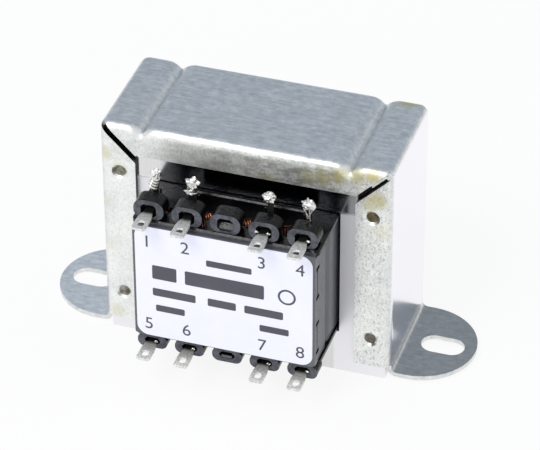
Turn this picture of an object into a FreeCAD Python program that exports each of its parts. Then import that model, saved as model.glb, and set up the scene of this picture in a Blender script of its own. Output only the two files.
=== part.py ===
import FreeCAD, Part
import math
import os

# Chassis mount transformer held in a folded channel frame with two slotted feet.
# Units are millimetres. Z = 0 is the resting face, Z points up, X runs from slot to slot,
# minus Y looks at the label and the solder tags. The origin lies midway between the two slots.

# Laminated core, of a standard outline whose legs and windows are sixths of its width
sheet_t = 0.5
sheet_count = 50
core_w = 60.0
core_h = 50.0
yoke_h = 10.0
butt_joint_gap = 0.06

# Folded clamp frame
frame_t = 1.0
frame_side_gap = 0.2
frame_stack_gap = 0.1
frame_rise = 1.45
fold_r = 2.0
top_flange_h = 6.8
side_flange_w = 7.8
side_flange_foot_gap = 3.5
flange_corner_r = 0.5
mitre_slit_w = 1.3
mitre_slit_setback = 1.1
groove_edge = 9.1
groove_shoulder_r = 4.0
groove_root_r = 0.35
dimple_r = 1.7
dimple_floor_r = 1.15
dimple_depth = 0.45
dimple_edge = 4.35
dimple_foot_gap = 10.3
dimple_top_gap = 11.55

# Mounting feet
foot_w = 24.0
foot_straight = 2.9
foot_bend_r = 1.2
foot_rise = 0.6
foot_overlap = 0.2
foot_relief_r = 0.5
slot_reach = 7.8
slot_length = 9.3
slot_w = 5.6
slot_over_cut = 1.0

# Coil former
window_fit = 0.3
window_end_fit = 0.2
leg_fit = 0.25
tube_wall = 1.0
flange_t = 1.2
flange_lip = 0.35
divider_t = 1.0
divider_setback = 0.9
front_reach_upper = 13.9
front_reach_lower = 12.7
back_reach = 11.5
former_corner_r = 1.2
hub_w = 6.4
hub_end_margin = 0.3
hub_rise_upper = 4.3
hub_drop_lower = 3.1
hub_corner_r = 2.0
hub_round_share = 0.47
hub_seat = 0.15
hub_setback = 0.6
hub_depth = 3.4
hub_recess_w = 3.3
hub_recess_depth = 2.6
hub_recess_top = 0.95
hub_recess_floor = 0.5
hub_recess_bevel = 0.6
blank_web_setback = 0.4
blank_web_h = 1.2
blank_web_slope = 0.9
wire_notch_offset = 2.8
wire_notch_w = 1.6
wire_notch_gap = 0.05
wire_notch_l = 1.65
barrier_left_margin = 9.2
barrier_right_margin = 5.7
barrier_offset = 4.5
barrier_t = 1.0
barrier_h = 2.7
barrier_lip = 0.3

# Windings and their insulation
winding_side_gap = 1.3
winding_back_gap = 3.6
winding_corner_r = 3.4
winding_end_gap = 0.1
tape_t = 0.2
wrap_gap = 0.05
wrap_t = 0.6

# Front cover and label
cover_side_gap = 0.4
cover_low_gap = 1.1
cover_top_gap = 0.75
cover_t = 0.75
cover_flange_gap = 0.05
cover_return_t = 1.0
cover_return_reach = 7.9
cover_return_gap = 0.2
cover_corner_r = 1.0
latch_setback = 1.5
latch_notch_w = 2.6
latch_notch_h = 0.9
latch_slit_w = 0.4
latch_low_share = 0.259
latch_high_share = 0.277
latch_span_share = 0.242
label_side_gap = 0.5
label_low_gap = 0.2
label_top_gap = 0.2
label_t = 0.12
label_corner_r = 2.5

# Solder tags
tag_w = 2.95
tag_t = 0.5
tag_offset = 1.6
tag_reach = 6.3
tag_tip_bevel = 0.4
tag_blade_l = 3.8
tag_neck_w = 1.9
tag_fit = 0.05
tag_blade_root = 2.2
eye_w = 1.4
eye_length = 1.7
eye_bevel = 0.35
eye_setback = 1.95
post_w = 1.2
post_setback = 1.2
post_rise = 8.3
tail_run = 3.0

# Solder and lead wires
lump_r = 1.25
lump_run = 3.4
lump_cap = 0.35
lump_sides = 8
tail_lump_r = 1.0
tail_lump_length = 1.8
primary_wire_r = 0.2
secondary_wire_r = 0.4
lead_start = 6.0
lead_rise = 0.9
lead_side = 1.1
lead_touch_gap = 0.03
lead_sides = 6

# Sizes that follow from the ones above
stack = sheet_t * sheet_count
side_leg_w = core_w / 6
mid_leg_w = core_w / 3
window_edge_x = core_w / 2 - side_leg_w
core_mid_z = core_h / 2
frame_x = core_w / 2 + frame_side_gap + frame_t
frame_inner_y = stack / 2 + frame_stack_gap
frame_y = frame_inner_y + frame_t
frame_top = core_h + frame_rise + frame_t
top_flange_z = frame_top - top_flange_h
side_flange_x = frame_x - side_flange_w
groove_x = frame_x - groove_edge
dimple_x = frame_x - dimple_edge
dimple_rows = (dimple_foot_gap, frame_top - dimple_top_gap)
foot_top = foot_rise + frame_t
panel_low_z = foot_top + foot_bend_r + foot_overlap
foot_flat_x = frame_x + foot_bend_r
foot_round_x = foot_flat_x + foot_straight - foot_bend_r
slot_x = frame_x + slot_reach
tube_x = mid_leg_w / 2 + leg_fit + tube_wall
tube_y = stack / 2 + leg_fit + tube_wall
former_x = window_edge_x - window_fit
former_z0 = yoke_h + window_end_fit
former_z1 = core_h - former_z0
former_front_upper = stack / 2 + front_reach_upper
former_front_lower = stack / 2 + front_reach_lower
former_back = stack / 2 + back_reach
tag_pitch = (former_x - hub_w / 2 - hub_end_margin) / 2
tag_rows = (-2, -1, 1, 2)
hub_rows = (-2, -1, 0, 1, 2)
hub_front = former_front_upper - hub_setback
hub_back = hub_front - hub_depth
wire_notch_y0 = hub_back - wire_notch_gap
wire_notch_y1 = wire_notch_y0 - wire_notch_l
barrier_x0 = -former_x + barrier_left_margin
barrier_x1 = former_x - barrier_right_margin
barrier_y = stack / 2 + barrier_offset
winding_x = former_x - winding_side_gap
winding_y = former_back - winding_back_gap
wrap_x = winding_x + tape_t + wrap_gap + wrap_t
wrap_y = winding_y + tape_t + wrap_gap + wrap_t
wrap_corner_r = winding_corner_r + tape_t + wrap_gap + wrap_t
divider_z0 = core_mid_z - divider_t / 2
divider_z1 = core_mid_z + divider_t / 2
cover_half_w = former_x - cover_side_gap
cover_z0 = former_z0 + cover_low_gap
cover_z1 = former_z1 - cover_top_gap
cover_back = former_front_upper + cover_flange_gap
cover_front = cover_back + cover_t
cover_return_back = stack / 2 + cover_return_reach
latch_y = cover_front - latch_setback
former_h = former_z1 - former_z0
latch_centres = (former_z0 + latch_low_share * former_h, former_z1 - latch_high_share * former_h)
latch_span = latch_span_share * former_h
label_half_w = cover_half_w - label_side_gap
label_z0 = cover_z0 + label_low_gap
label_z1 = cover_z1 - label_top_gap
tag_z_upper = former_z1 + tag_offset
tag_z_lower = former_z0 - tag_offset
tag_tip = hub_front + tag_reach
tag_shoulder = tag_tip - tag_blade_l
tag_neck_y = hub_front - tag_blade_root
eye_y = tag_tip - eye_setback
post_y = hub_back - post_setback
post_top = former_z1 + post_rise
tail_end = hub_back - tail_run
lump_base_z = post_top - lump_run


def vec(x, y, z):
    return FreeCAD.Vector(x, y, z)


def block(x0, x1, y0, y1, z0, z1):
    return Part.makeBox(x1 - x0, y1 - y0, z1 - z0, vec(x0, y0, z0))


def arc(start, middle, end):
    return Part.Arc(start, middle, end).toShape()


def line(start, end):
    return Part.LineSegment(start, end).toShape()


def closed_face(points):
    return Part.Face(Part.makePolygon(points + [points[0]]))


def edges_along(shape, direction):
    # Every straight edge that runs along the given direction.
    edges = []
    for edge in shape.Edges:
        run = edge.Vertexes[-1].Point.sub(edge.Vertexes[0].Point)
        if run.Length > 1e-6 and abs(run.dot(direction)) > 0.999 * run.Length:
            edges.append(edge)
    return edges


def round_upright_edges(shape, radius, direction):
    return shape.makeFillet(radius, edges_along(shape, direction))


def rounded_block(x0, x1, y0, y1, z0, z1, radius):
    return round_upright_edges(block(x0, x1, y0, y1, z0, z1), radius, vec(0, 0, 1))


def rounded_ring(outer_x, outer_y, outer_r, inner_x, inner_y, inner_r, z0, z1):
    outer = rounded_block(-outer_x, outer_x, -outer_y, outer_y, z0, z1, outer_r)
    inner = block(-inner_x, inner_x, -inner_y, inner_y, z0, z1)
    if inner_r > 0:
        inner = round_upright_edges(inner, inner_r, vec(0, 0, 1))
    return outer.cut(inner)


def turned_over(shape):
    # Mirrors a shape about the middle height of the core.
    return shape.mirror(vec(0, 0, core_mid_z), vec(0, 0, 1))


def slot_prism(x, y, length, width, z0, z1):
    # Stadium shaped hole whose long axis runs along X.
    reach = length / 2 - width / 2
    body = block(x - reach, x + reach, y - width / 2, y + width / 2, z0, z1)
    for side in (-1, 1):
        body = body.fuse(Part.makeCylinder(width / 2, z1 - z0, vec(x + side * reach, y, z0)))
    return body


# Core sheets

def e_sheet():
    half = core_w / 2
    mid = mid_leg_w / 2
    leg_top = core_h - yoke_h
    outline = [
        (-half, 0), (half, 0), (half, leg_top), (window_edge_x, leg_top),
        (window_edge_x, yoke_h), (mid, yoke_h), (mid, leg_top), (-mid, leg_top),
        (-mid, yoke_h), (-window_edge_x, yoke_h), (-window_edge_x, leg_top), (-half, leg_top),
    ]
    points = [vec(x, -stack / 2, z) for x, z in outline]
    return closed_face(points).extrude(vec(0, sheet_t, 0))


def i_sheet():
    y0 = -stack / 2
    z0 = core_h - yoke_h + butt_joint_gap
    return block(-core_w / 2, core_w / 2, y0, y0 + sheet_t, z0, core_h)


def sheet_pack(sheet, first):
    pack = []
    for index in range(first, sheet_count, 2):
        copy = sheet.copy()
        copy.translate(vec(0, index * sheet_t, 0))
        pack.append(copy)
    return Part.makeCompound(pack)


# Clamp frame

def groove_edges(x, top_z, inset):
    # Two broad shoulders fall into a tight root. The inset is the depth below the outer skin.
    shoulder_r = groove_shoulder_r - inset
    root_r = groove_root_r + inset
    shoulder_z = frame_top - groove_shoulder_r
    root_z = core_h + frame_t + groove_root_r
    reach = math.sqrt((groove_shoulder_r + groove_root_r) ** 2 - (root_z - shoulder_z) ** 2)
    lean = math.atan2(reach, root_z - shoulder_z)
    halves = []
    for side in (-1, 1):
        centre = vec(x + side * reach, 0, shoulder_z)
        start = vec(centre.x, 0, top_z)
        middle = centre + vec(-side * math.sin(lean / 2), 0, math.cos(lean / 2)) * shoulder_r
        end = centre + vec(-side * math.sin(lean), 0, math.cos(lean)) * shoulder_r
        halves.append((start, middle, end))
    bottom = vec(x, 0, root_z - root_r)
    left, right = halves
    edges = [arc(*left), arc(left[2], bottom, right[2]), arc(right[2], right[1], right[0])]
    return edges, left[0], right[0]


def panel_solid(inset, low_z):
    # Solid under the skin of the two side panels and the grooved top panel.
    half = frame_x - inset
    top_z = frame_top - inset
    depth = frame_y - inset
    left_edges, left_in, left_out = groove_edges(-groove_x, top_z, inset)
    right_edges, right_in, right_out = groove_edges(groove_x, top_z, inset)
    low_left = vec(-half, 0, low_z)
    low_right = vec(half, 0, low_z)
    top_left = vec(-half, 0, top_z)
    top_right = vec(half, 0, top_z)
    edges = [line(low_left, top_left), line(top_left, left_in)]
    edges.extend(left_edges)
    edges.append(line(left_out, right_in))
    edges.extend(right_edges)
    edges.append(line(right_out, top_right))
    edges.append(line(top_right, low_right))
    edges.append(line(low_right, low_left))
    face = Part.Face(Part.Wire(edges))
    face.translate(vec(0, -depth, 0))
    solid = face.extrude(vec(0, 2 * depth, 0))
    return solid


def folded_skin():
    # The folds are rounded outside and square inside, where the core's own corners sit.
    solid = panel_solid(0, panel_low_z)
    rims = []
    for edge in solid.Edges:
        box = edge.BoundBox
        on_face = box.YLength < 1e-6 and box.ZMax > panel_low_z + 1e-3
        on_corner = box.XLength < 1e-6 and box.ZLength < 1e-6 and abs(box.XMax) > frame_x - 1e-3
        if on_face or (on_corner and box.ZMax > frame_top - 1e-3):
            rims.append(edge)
    return solid.makeFillet(fold_r, rims)


def mitre_slit(side, face):
    # Slot at forty five degrees between the top flange and a side flange.
    start = vec(side * (frame_x - mitre_slit_setback), 0, frame_top - mitre_slit_setback)
    reach = top_flange_h + side_flange_w
    across = vec(side * 1.0, 0, -1.0).normalize() * (mitre_slit_w / 2)
    along = vec(-side * 1.0, 0, -1.0).normalize() * reach
    y0 = -frame_y - frame_t if face < 0 else frame_y - fold_r
    depth = fold_r + frame_t
    points = [start + across, start + along + across, start + along - across, start - across]
    points = [vec(p.x, y0, p.z) for p in points]
    body = closed_face(points).extrude(vec(0, depth, 0))
    tip = Part.makeCylinder(mitre_slit_w / 2, depth, vec(start.x, y0, start.z), vec(0, 1, 0))
    return body.fuse(tip)


def dimple(side, z):
    # Shallow round press mark in a front flange.
    base = vec(side * dimple_x, -frame_y, z)
    return Part.makeCone(dimple_r, dimple_floor_r, dimple_depth, base, vec(0, 1, 0))


def foot_relief(face):
    # Cuts the side panels back to the width of the feet, with a hollow corner.
    y_foot = face * foot_w / 2
    y_far = face * (frame_y + 1)
    y_start = face * (foot_w / 2 + foot_relief_r)
    z_top = side_flange_foot_gap
    z_arc = z_top - foot_relief_r
    cut = foot_relief_r * (1 - math.sqrt(0.5))
    x0 = -frame_x - 1
    middle = vec(x0, y_foot + face * cut, z_top - cut)
    edges = [
        line(vec(x0, y_far, z_top), vec(x0, y_start, z_top)),
        arc(vec(x0, y_start, z_top), middle, vec(x0, y_foot, z_arc)),
        line(vec(x0, y_foot, z_arc), vec(x0, y_foot, -1)),
        line(vec(x0, y_foot, -1), vec(x0, y_far, -1)),
        line(vec(x0, y_far, -1), vec(x0, y_far, z_top)),
    ]
    hollow = Part.Face(Part.Wire(edges)).extrude(vec(-2 * x0, 0, 0))
    inner_x = frame_x - frame_t
    y_pair = sorted((y_foot, y_far))
    flat = block(-inner_x, inner_x, y_pair[0], y_pair[1], -1, z_top)
    return hollow.fuse(flat)


def foot(side):
    # The feet stand a little above the core's lower face, so the screws press the core down.
    bend_x = side * foot_flat_x
    bend_z = foot_top + foot_bend_r
    tip_x = side * (foot_round_x + foot_w / 2)
    outer_x = side * frame_x
    inner_x = side * (frame_x - frame_t)
    small = foot_bend_r * math.sqrt(0.5)
    large = (foot_bend_r + frame_t) * math.sqrt(0.5)
    y0 = -foot_w / 2
    edges = [
        line(vec(outer_x, y0, panel_low_z), vec(outer_x, y0, bend_z)),
        arc(vec(outer_x, y0, bend_z), vec(bend_x - side * small, y0, bend_z - small),
            vec(bend_x, y0, foot_top)),
        line(vec(bend_x, y0, foot_top), vec(tip_x, y0, foot_top)),
        line(vec(tip_x, y0, foot_top), vec(tip_x, y0, foot_rise)),
        line(vec(tip_x, y0, foot_rise), vec(bend_x, y0, foot_rise)),
        arc(vec(bend_x, y0, foot_rise), vec(bend_x - side * large, y0, bend_z - large),
            vec(inner_x, y0, bend_z)),
        line(vec(inner_x, y0, bend_z), vec(inner_x, y0, panel_low_z)),
        line(vec(inner_x, y0, panel_low_z), vec(outer_x, y0, panel_low_z)),
    ]
    band = Part.Face(Part.Wire(edges)).extrude(vec(0, foot_w, 0))
    round_x = side * foot_round_x
    x_pair = sorted((inner_x - side * foot_overlap, round_x))
    low = foot_rise - slot_over_cut
    high = panel_low_z + slot_over_cut
    outline = block(x_pair[0], x_pair[1], y0, -y0, low, high)
    outline = outline.fuse(Part.makeCylinder(foot_w / 2, high - low, vec(round_x, 0, low)))
    band = band.common(outline)
    return band.cut(slot_prism(side * slot_x, 0, slot_length, slot_w, low, foot_top + slot_over_cut))


def clamp_frame():
    body = folded_skin().cut(panel_solid(frame_t, panel_low_z - 1))
    depth = frame_y + 1
    opening = block(-side_flange_x, side_flange_x, -depth, depth, panel_low_z - 1, top_flange_z)
    opening = round_upright_edges(opening, flange_corner_r, vec(0, 1, 0))
    body = body.cut(opening)
    for face in (-1, 1):
        body = body.cut(foot_relief(face))
        for side in (-1, 1):
            body = body.cut(mitre_slit(side, face))
    for side in (-1, 1):
        for z in dimple_rows:
            body = body.cut(dimple(side, z))
        body = body.fuse(foot(side))
    return body.removeSplitter()


# Coil former

def hub(x, height, blank):
    # Rounded boss that stands on the flange, with a rounded mouth for the tag.
    y = -hub_front
    half = hub_w / 2
    body = block(x - half, x + half, y, y + hub_depth, former_z1 - hub_seat, former_z1 + height)
    body = round_upright_edges(body, min(hub_corner_r, height * hub_round_share), vec(0, 1, 0))
    half = hub_recess_w / 2
    z0 = former_z1 + hub_recess_floor
    z1 = former_z1 + height - hub_recess_top
    mouth = block(x - half, x + half, y - 1, y + hub_recess_depth, z0, z1)
    body = body.cut(mouth.makeChamfer(hub_recess_bevel, edges_along(mouth, vec(0, 1, 0))))
    if blank:
        return body.fuse(blank_web(x, y, z0))
    slit_x = tag_w / 2 + tag_fit
    slit_z = tag_t / 2 + tag_fit
    return body.cut(block(x - slit_x, x + slit_x, y - 1, y + hub_depth + 1,
                          tag_z_upper - slit_z, tag_z_upper + slit_z))


def blank_web(x, y, z0):
    # Sloping tongue that fills the lower part of a mouth without a tag.
    half = hub_recess_w / 2
    low = z0 - hub_recess_floor / 2
    top = z0 + blank_web_h
    front = y + blank_web_setback
    back = y + hub_recess_depth
    points = [
        vec(x - half, front, low), vec(x - half, front, top - blank_web_slope),
        vec(x - half, front + blank_web_slope, top), vec(x - half, back, top), vec(x - half, back, low),
    ]
    return closed_face(points).extrude(vec(2 * half, 0, 0))


def hub_row(height):
    row = hub(hub_rows[0] * tag_pitch, height, False)
    for place in hub_rows[1:]:
        row = row.fuse(hub(place * tag_pitch, height, place not in tag_rows))
    return row


def notch_x(place):
    # The four wire notches follow the first four hubs, each just right of its hub.
    before = place if place < 0 else place - 1
    return before * tag_pitch + wire_notch_offset


def lip_edges(shape, y, z):
    # Long upper edge of a wall whose front face lies at y and whose top lies at z.
    edges = []
    for edge in shape.Edges:
        box = edge.BoundBox
        if abs(box.YMin - y) < 1e-6 and abs(box.YMax - y) < 1e-6 and box.ZMin > z - 1e-6:
            edges.append(edge)
    return edges


def end_flange(front):
    z0 = former_z1 - flange_t
    body = rounded_block(-former_x, former_x, -front, former_back, z0, former_z1, former_corner_r)
    half = wire_notch_w / 2
    for place in tag_rows:
        x = notch_x(place)
        body = body.cut(block(x - half, x + half, -wire_notch_y0, -wire_notch_y1,
                              z0 - 1, former_z1 + 1))
    return body.makeChamfer(flange_lip, lip_edges(body, -front, former_z1))


def coil_former():
    upper = end_flange(former_front_upper).fuse(hub_row(hub_rise_upper))
    barrier_y1 = -barrier_y + barrier_t / 2
    barrier = block(barrier_x0, barrier_x1, barrier_y1 - barrier_t, barrier_y1,
                    former_z1, former_z1 + barrier_h)
    lip = lip_edges(barrier, barrier_y1 - barrier_t, former_z1 + barrier_h)
    upper = upper.fuse(barrier.makeChamfer(barrier_lip, lip))
    lower = turned_over(end_flange(former_front_lower).fuse(hub_row(hub_drop_lower)))
    tube = block(-tube_x, tube_x, -tube_y, tube_y, former_z0, former_z1)
    divider_x = winding_x - divider_setback
    divider_y = winding_y - divider_setback
    divider = rounded_block(-divider_x, divider_x, -divider_y, divider_y,
                            divider_z0, divider_z1, winding_corner_r)
    body = tube.fuse(upper).fuse(lower).fuse(divider)
    bore_x = tube_x - tube_wall
    bore_y = tube_y - tube_wall
    return body.cut(block(-bore_x, bore_x, -bore_y, bore_y, 0, core_h)).removeSplitter()


# Windings and insulation

def winding_ring(z0, z1):
    return rounded_ring(winding_x, winding_y, winding_corner_r, tube_x, tube_y, 0, z0, z1)


def primary_winding():
    z1 = former_z1 - flange_t
    return winding_ring(divider_z1 + winding_end_gap, z1 - winding_end_gap)


def secondary_winding():
    z0 = former_z0 + flange_t
    return winding_ring(z0 + winding_end_gap, divider_z0 - winding_end_gap)


def winding_tape():
    z0 = former_z0 + flange_t + winding_end_gap
    return rounded_ring(winding_x + tape_t, winding_y + tape_t, winding_corner_r + tape_t,
                        winding_x, winding_y, winding_corner_r, z0, core_h - z0)


def coil_wrap():
    gap = wrap_gap + tape_t
    z0 = former_z0 + flange_t + winding_end_gap
    return rounded_ring(wrap_x, wrap_y, wrap_corner_r, winding_x + gap, winding_y + gap,
                        winding_corner_r + gap, z0, core_h - z0)


# Front cover and label

def cover_return(side):
    z0 = former_z0 + flange_t + cover_return_gap
    z1 = core_h - z0
    x_pair = sorted((side * cover_half_w, side * (cover_half_w - cover_return_t)))
    y0 = -cover_front + cover_flange_gap
    body = block(x_pair[0], x_pair[1], y0, -cover_return_back, z0, z1)
    for centre in latch_centres:
        low = centre - latch_span / 2
        high = centre + latch_span / 2
        body = body.cut(block(x_pair[0] - 1, x_pair[1] + 1, -latch_y - latch_slit_w / 2,
                              -latch_y + latch_slit_w / 2, low, high))
        for z in (low, high):
            body = body.cut(block(x_pair[0] - 1, x_pair[1] + 1, -latch_y - latch_notch_w / 2,
                                  -latch_y + latch_notch_w / 2,
                                  z - latch_notch_h / 2, z + latch_notch_h / 2))
    return body


def front_cover():
    plate = block(-cover_half_w, cover_half_w, -cover_front, -cover_back, cover_z0, cover_z1)
    plate = round_upright_edges(plate, cover_corner_r, vec(0, 1, 0))
    for side in (-1, 1):
        plate = plate.fuse(cover_return(side))
    return plate.removeSplitter()


def label():
    body = block(-label_half_w, label_half_w, -cover_front - label_t, -cover_front,
                 label_z0, label_z1)
    return round_upright_edges(body, label_corner_r, vec(0, 1, 0))


# Solder tags, solder and leads

def tag_blade(x, back_y):
    # Bottle shaped strip: a wide eye end, sloping shoulders, a narrow neck and a thin stem.
    z0 = tag_z_upper - tag_t / 2
    wide = tag_w / 2
    neck = tag_neck_w / 2
    stem = post_w / 2
    points = []
    for side in (-1, 1):
        half = [
            vec(x + side * wide, -tag_tip, z0), vec(x + side * wide, -tag_shoulder, z0),
            vec(x + side * neck, -hub_front, z0), vec(x + side * neck, -tag_neck_y, z0),
            vec(x + side * stem, -tag_neck_y, z0), vec(x + side * stem, back_y, z0),
        ]
        points.extend(half if side < 0 else reversed(half))
    blade = closed_face(points).extrude(vec(0, 0, tag_t))
    corners = [edge for edge in edges_along(blade, vec(0, 0, 1)) if edge.BoundBox.YMax < -tag_tip + 1e-3]
    blade = blade.makeChamfer(tag_tip_bevel, corners)
    eye = block(x - eye_w / 2, x + eye_w / 2, -eye_y - eye_length / 2, -eye_y + eye_length / 2,
                z0 - 1, z0 + tag_t + 1)
    return blade.cut(eye.makeChamfer(eye_bevel, edges_along(eye, vec(0, 0, 1))))


def upper_tag(x):
    back_y = -post_y + tag_t / 2
    z0 = tag_z_upper - tag_t / 2
    post = block(x - post_w / 2, x + post_w / 2, -post_y - tag_t / 2, back_y, z0, post_top)
    return tag_blade(x, back_y).fuse(post).removeSplitter()


def lower_tag(x):
    return turned_over(tag_blade(x, -tail_end).removeSplitter())


def upper_solder(x):
    # Lump that wraps the top of the post and closes over its end.
    along = vec(0, 0, post_top + lump_cap - lump_base_z)
    ring = Part.Face(polygon_wire(vec(x, -post_y, lump_base_z), lump_r, along, lump_sides))
    return ring.extrude(along).cut(upper_tag(x))


def lower_solder(x):
    along = vec(0, tail_lump_length, 0)
    base = vec(x, -tail_end, tag_z_lower) - along
    ring = Part.Face(polygon_wire(base, tail_lump_r, along, lump_sides))
    return ring.extrude(along).cut(lower_tag(x))


def polygon_wire(centre, radius, normal, sides):
    # Regular polygon around a point, square to the normal.
    helper = vec(1, 0, 0) if abs(normal.x) < 0.9 * normal.Length else vec(0, 1, 0)
    first = normal.cross(helper).normalize()
    second = normal.cross(first).normalize()
    points = []
    for step in range(sides + 1):
        turn = 2 * math.pi * step / sides
        points.append(centre + first * (radius * math.cos(turn)) + second * (radius * math.sin(turn)))
    return Part.makePolygon(points)


def lead(points, radius):
    path = Part.makePolygon(points)
    ring = polygon_wire(points[0], radius, points[1].sub(points[0]), lead_sides)
    return path.makePipeShell([ring], True, False, 1)


def upper_lead(place):
    x = notch_x(place)
    post_x = place * tag_pitch
    side = 1 if x > post_x else -1
    y = -wrap_y - primary_wire_r - lead_touch_gap
    beside = post_x + side * lead_side
    points = [
        vec(x, y, former_z1 - lead_start),
        vec(x, y, former_z1 + lead_rise),
        vec(beside, -post_y, former_z1 + hub_rise_upper / 2),
        vec(beside, -post_y, lump_base_z - primary_wire_r - lead_touch_gap),
    ]
    return lead(points, primary_wire_r)


def lower_lead(place):
    x = notch_x(place)
    post_x = place * tag_pitch
    side = 1 if x > post_x else -1
    y = -wrap_y - secondary_wire_r - lead_touch_gap
    reach = tail_lump_r + secondary_wire_r + lead_touch_gap
    points = [
        vec(x, y, former_z0 + lead_start),
        vec(x, y, tag_z_lower),
        vec(post_x + side * reach, -tail_end - tail_lump_length / 2, tag_z_lower),
    ]
    return lead(points, secondary_wire_r)


def save(name, shape):
    shape.exportStep("parts/" + name + ".step")


os.makedirs("parts", exist_ok=True)

save("clamp_frame", clamp_frame())
save("e_sheets_upright", sheet_pack(e_sheet(), 0))
save("e_sheets_inverted", sheet_pack(turned_over(e_sheet()), 1))
save("i_sheets_upper", sheet_pack(i_sheet(), 0))
save("i_sheets_lower", sheet_pack(turned_over(i_sheet()), 1))
save("coil_former", coil_former())
save("primary_winding", primary_winding())
save("secondary_winding", secondary_winding())
save("winding_tape", winding_tape())
save("coil_wrap", coil_wrap())
save("front_cover", front_cover())
save("label", label())

for number, place in enumerate(tag_rows, 1):
    save("tag_upper_%d" % number, upper_tag(place * tag_pitch))
    save("tag_lower_%d" % number, lower_tag(place * tag_pitch))

save("solder_upper", Part.makeCompound([upper_solder(place * tag_pitch) for place in tag_rows]))
save("solder_lower", Part.makeCompound([lower_solder(place * tag_pitch) for place in tag_rows]))
save("primary_leads", Part.makeCompound([upper_lead(place) for place in tag_rows]))
save("secondary_leads", Part.makeCompound([lower_lead(place) for place in tag_rows]))
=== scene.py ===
import math

import bmesh
import bpy
from mathutils import Matrix, Vector, noise


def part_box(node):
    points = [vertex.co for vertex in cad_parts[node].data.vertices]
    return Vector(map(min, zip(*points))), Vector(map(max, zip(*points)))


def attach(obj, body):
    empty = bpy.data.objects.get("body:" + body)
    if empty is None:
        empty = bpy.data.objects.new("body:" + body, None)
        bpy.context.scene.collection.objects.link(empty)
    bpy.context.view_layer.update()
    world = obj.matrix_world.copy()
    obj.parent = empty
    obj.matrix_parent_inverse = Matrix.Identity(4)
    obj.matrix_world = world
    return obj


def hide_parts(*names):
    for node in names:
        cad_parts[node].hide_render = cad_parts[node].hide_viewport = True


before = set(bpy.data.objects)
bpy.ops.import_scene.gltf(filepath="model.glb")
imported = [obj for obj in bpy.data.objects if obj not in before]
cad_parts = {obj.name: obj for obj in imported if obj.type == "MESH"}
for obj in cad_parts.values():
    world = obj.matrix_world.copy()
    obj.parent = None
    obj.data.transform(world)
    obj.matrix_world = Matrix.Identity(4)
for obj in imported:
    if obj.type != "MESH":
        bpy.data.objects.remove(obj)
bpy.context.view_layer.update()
mm = 0.001


# Small helpers

def toLinear(hexColour):
    values = [int(hexColour[i:i + 2], 16) / 255 for i in (1, 3, 5)]
    return [v / 12.92 if v <= 0.04045 else ((v + 0.055) / 1.055) ** 2.4 for v in values] + [1.0]


def setInputs(tree, node, inputs):
    # A node given as a value is linked by its first live output
    for key, value in inputs.items():
        if isinstance(value, bpy.types.Node):
            value = next(socket for socket in value.outputs if socket.enabled)
        if isinstance(value, bpy.types.NodeSocket):
            tree.links.new(value, node.inputs[key])
        else:
            node.inputs[key].default_value = value


def addNode(tree, kind, inputs=None, **settings):
    node = tree.nodes.new("ShaderNode" + kind)
    for name, value in settings.items():
        setattr(node, name, value)
    setInputs(tree, node, inputs or {})
    return node


def combineMasks(tree, *parts):
    # Multiplies masks. A part of (source, low, high, at low, at high) is spread over that range first
    product = None
    for part in parts:
        if isinstance(part, tuple):
            part = addNode(tree, "MapRange", dict(enumerate(part)))
        if product is not None:
            part = addNode(tree, "Math", {0: product, 1: part}, operation="MULTIPLY")
        product = part
    return product


def startMaterial(name, values):
    material = bpy.data.materials.new(name)
    material.use_nodes = True
    tree = material.node_tree
    shader = tree.nodes["Principled BSDF"]
    setInputs(tree, shader, values)
    place = addNode(tree, "TexCoord").outputs["Object"]
    return material, tree, shader, place


def perMm(size):
    return 1 / (size * mm)  # a texture's scale for a feature of this size


def inMetres(limits):
    return {name: [value * mm for value in pair] for name, pair in limits.items()}


def settlePiece(piece, nodes=()):
    bpy.context.scene.collection.objects.link(piece)
    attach(piece, "root")
    if nodes:
        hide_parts(*nodes)
    return piece


def smoothByAngle(mesh, degrees):
    mesh.shade_smooth()
    mesh.set_sharp_from_angle(angle=math.radians(degrees))


def newPiece(name, bm, material, nodes=(), foldAngle=0):
    mesh = bpy.data.meshes.new(name)
    bm.to_mesh(mesh)
    bm.free()
    mesh.materials.append(material)
    if foldAngle:
        smoothByAngle(mesh, foldAngle)
    settlePiece(bpy.data.objects.new(name, mesh), nodes)


dressing = {  # how a node's copy is merged, and how its cut edges are rounded, in mm and degrees
    "mergeGap": 0.002, "flatAngle": 0.6, "cutAngle": 40, "segments": 2,
}


def dressCopy(nodeName, pieceName, material, edgeRadius=0.0, foldAngle=32):
    # A merged copy of a node takes smooth folds and a small rounding on its cut edges
    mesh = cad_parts[nodeName].data.copy()
    mesh.name = pieceName
    if "custom_normal" in mesh.attributes:
        mesh.attributes.remove(mesh.attributes["custom_normal"])
    mesh.materials.clear()
    bm = bmesh.new()
    bm.from_mesh(mesh)
    bmesh.ops.remove_doubles(bm, verts=bm.verts, dist=dressing["mergeGap"] * mm)
    flat = math.radians(dressing["flatAngle"])
    bmesh.ops.dissolve_limit(bm, angle_limit=flat, verts=bm.verts, edges=bm.edges)
    bm.to_mesh(mesh)
    bm.free()
    mesh.materials.append(material)
    smoothByAngle(mesh, foldAngle)
    piece = settlePiece(bpy.data.objects.new(pieceName, mesh), [nodeName])
    if edgeRadius:
        rounding = piece.modifiers.new("cutEdges", "BEVEL")
        rounding.width = edgeRadius * mm
        rounding.segments = dressing["segments"]
        rounding.limit_method = "ANGLE"
        rounding.angle_limit = math.radians(dressing["cutAngle"])
        rounding.use_clamp_overlap = True
        rounding.harden_normals = False
    weighted = piece.modifiers.new("flatFaces", "WEIGHTED_NORMAL")
    weighted.keep_sharp = True
    weighted.weight = 50


def paintNode(nodeName, material):
    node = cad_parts[nodeName]
    node.data.materials.clear()
    node.data.materials.append(material)


def edgesOf(verts):
    return list({edge for vert in verts for edge in vert.link_edges})


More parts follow.
